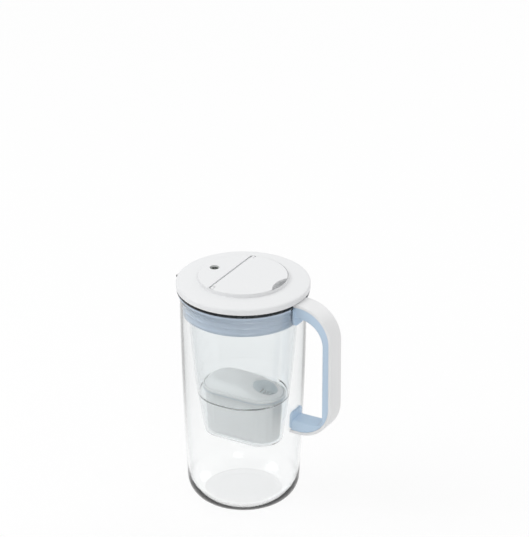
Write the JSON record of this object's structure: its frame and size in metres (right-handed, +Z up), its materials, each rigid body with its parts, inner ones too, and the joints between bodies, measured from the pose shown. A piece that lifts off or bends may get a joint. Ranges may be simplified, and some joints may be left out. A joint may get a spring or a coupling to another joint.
{
  "type": "water filter pitcher",
  "caption": "Glass water filter pitcher with D-handle, pouring lip, clear hopper on a blue sealing ring, oval filter cartridge and a white lid with a flip flap and a change light.",
  "frame": {"origin": "middle of the jug's flat foot, on the table", "axes": "+Z up along the jug's axis, +X from the axis towards the handle, -X towards the pouring lip, +Y completes a right-handed frame"},
  "size_m": [0.189, 0.1374, 0.252],
  "materials": {
    "jug_glass": "clear polished glass",
    "clear_plastic": "clear moulded plastic, glossy",
    "white_plastic": "fine satin white moulded plastic",
    "soft_blue": "light blue soft-touch rubber",
    "ring_silicone": "light blue silicone, satin",
    "cartridge_plastic": "white moulded plastic, satin",
    "seal_silicone": "translucent white silicone",
    "granulate": "loose carbon and resin granules",
    "mesh_plastic": "fine woven plastic mesh",
    "pin_steel": "drawn stainless rod",
    "button_plastic": "translucent grey plastic",
    "lens_green": "translucent green plastic",
    "led_green": "clear moulded light",
    "board_green": "solder-masked board",
    "switch_metal": "pressed sheet metal",
    "cell_steel": "pressed steel cell case",
    "dark_rubber": "black rubber cord"
  },
  "bodies": {
    "jug": {"glass_jug": "jug_glass", "upper_saddle": "soft_blue", "lower_saddle": "soft_blue", "handle_liner": "soft_blue", "handle_shell": "white_plastic"},
    "ring": {"sealing_ring": "ring_silicone"},
    "funnel": {"funnel": "clear_plastic"},
    "cartridge": {"cartridge_housing": "cartridge_plastic", "cartridge_cap": "cartridge_plastic", "cartridge_seal": "seal_silicone", "filter_media": "granulate", "inlet_screen": "mesh_plastic", "outlet_screen": "mesh_plastic"},
    "lid": {"lid_cover": "white_plastic", "hinge_pin": "pin_steel"},
    "flap": {"flip_flap": "white_plastic"},
    "light": {"light_housing": "white_plastic", "light_led": "led_green", "light_board": "board_green", "light_switch": "switch_metal", "light_battery": "cell_steel", "battery_contacts": "switch_metal", "light_base": "white_plastic", "light_seal": "dark_rubber"},
    "button": {"light_button": "button_plastic", "light_lens": "lens_green"}
  },
  "joints": [
    {"name": "ring_lift", "type": "slide", "parent": "jug", "child": "ring", "axis": [0, 0, 1], "range_m": [0, 0.088]},
    {"name": "funnel_lift", "type": "slide", "parent": "ring", "child": "funnel", "axis": [0, 0, 1], "range_m": [0, 0.042]},
    {"name": "lid_lift", "type": "slide", "parent": "funnel", "child": "lid", "axis": [0, 0, 1], "range_m": [0, 0.15]},
    {"name": "cartridge_lift", "type": "slide", "parent": "funnel", "child": "cartridge", "axis": [0, 0, 1], "range_m": [0, 0.159]},
    {"name": "flap_hinge", "type": "hinge", "parent": "lid", "child": "flap", "pos_m": [-0.013, 0, 0.2494], "axis": [0, 1, 0], "range_deg": [-95, 0]},
    {"name": "light_pull", "type": "slide", "parent": "lid", "child": "light", "axis": [0, 0, -1], "range_m": [0, 0.062]},
    {"name": "button_press", "type": "slide", "parent": "light", "child": "button", "axis": [0, 0, 1], "range_m": [-0.001, 0], "stiffness_N_per_m": 900, "springref_m": 0.0006}
  ],
  "couplings": [
    {"joint": "cartridge_lift", "follows": "lid_lift", "ratio": 1.06}
  ]
}
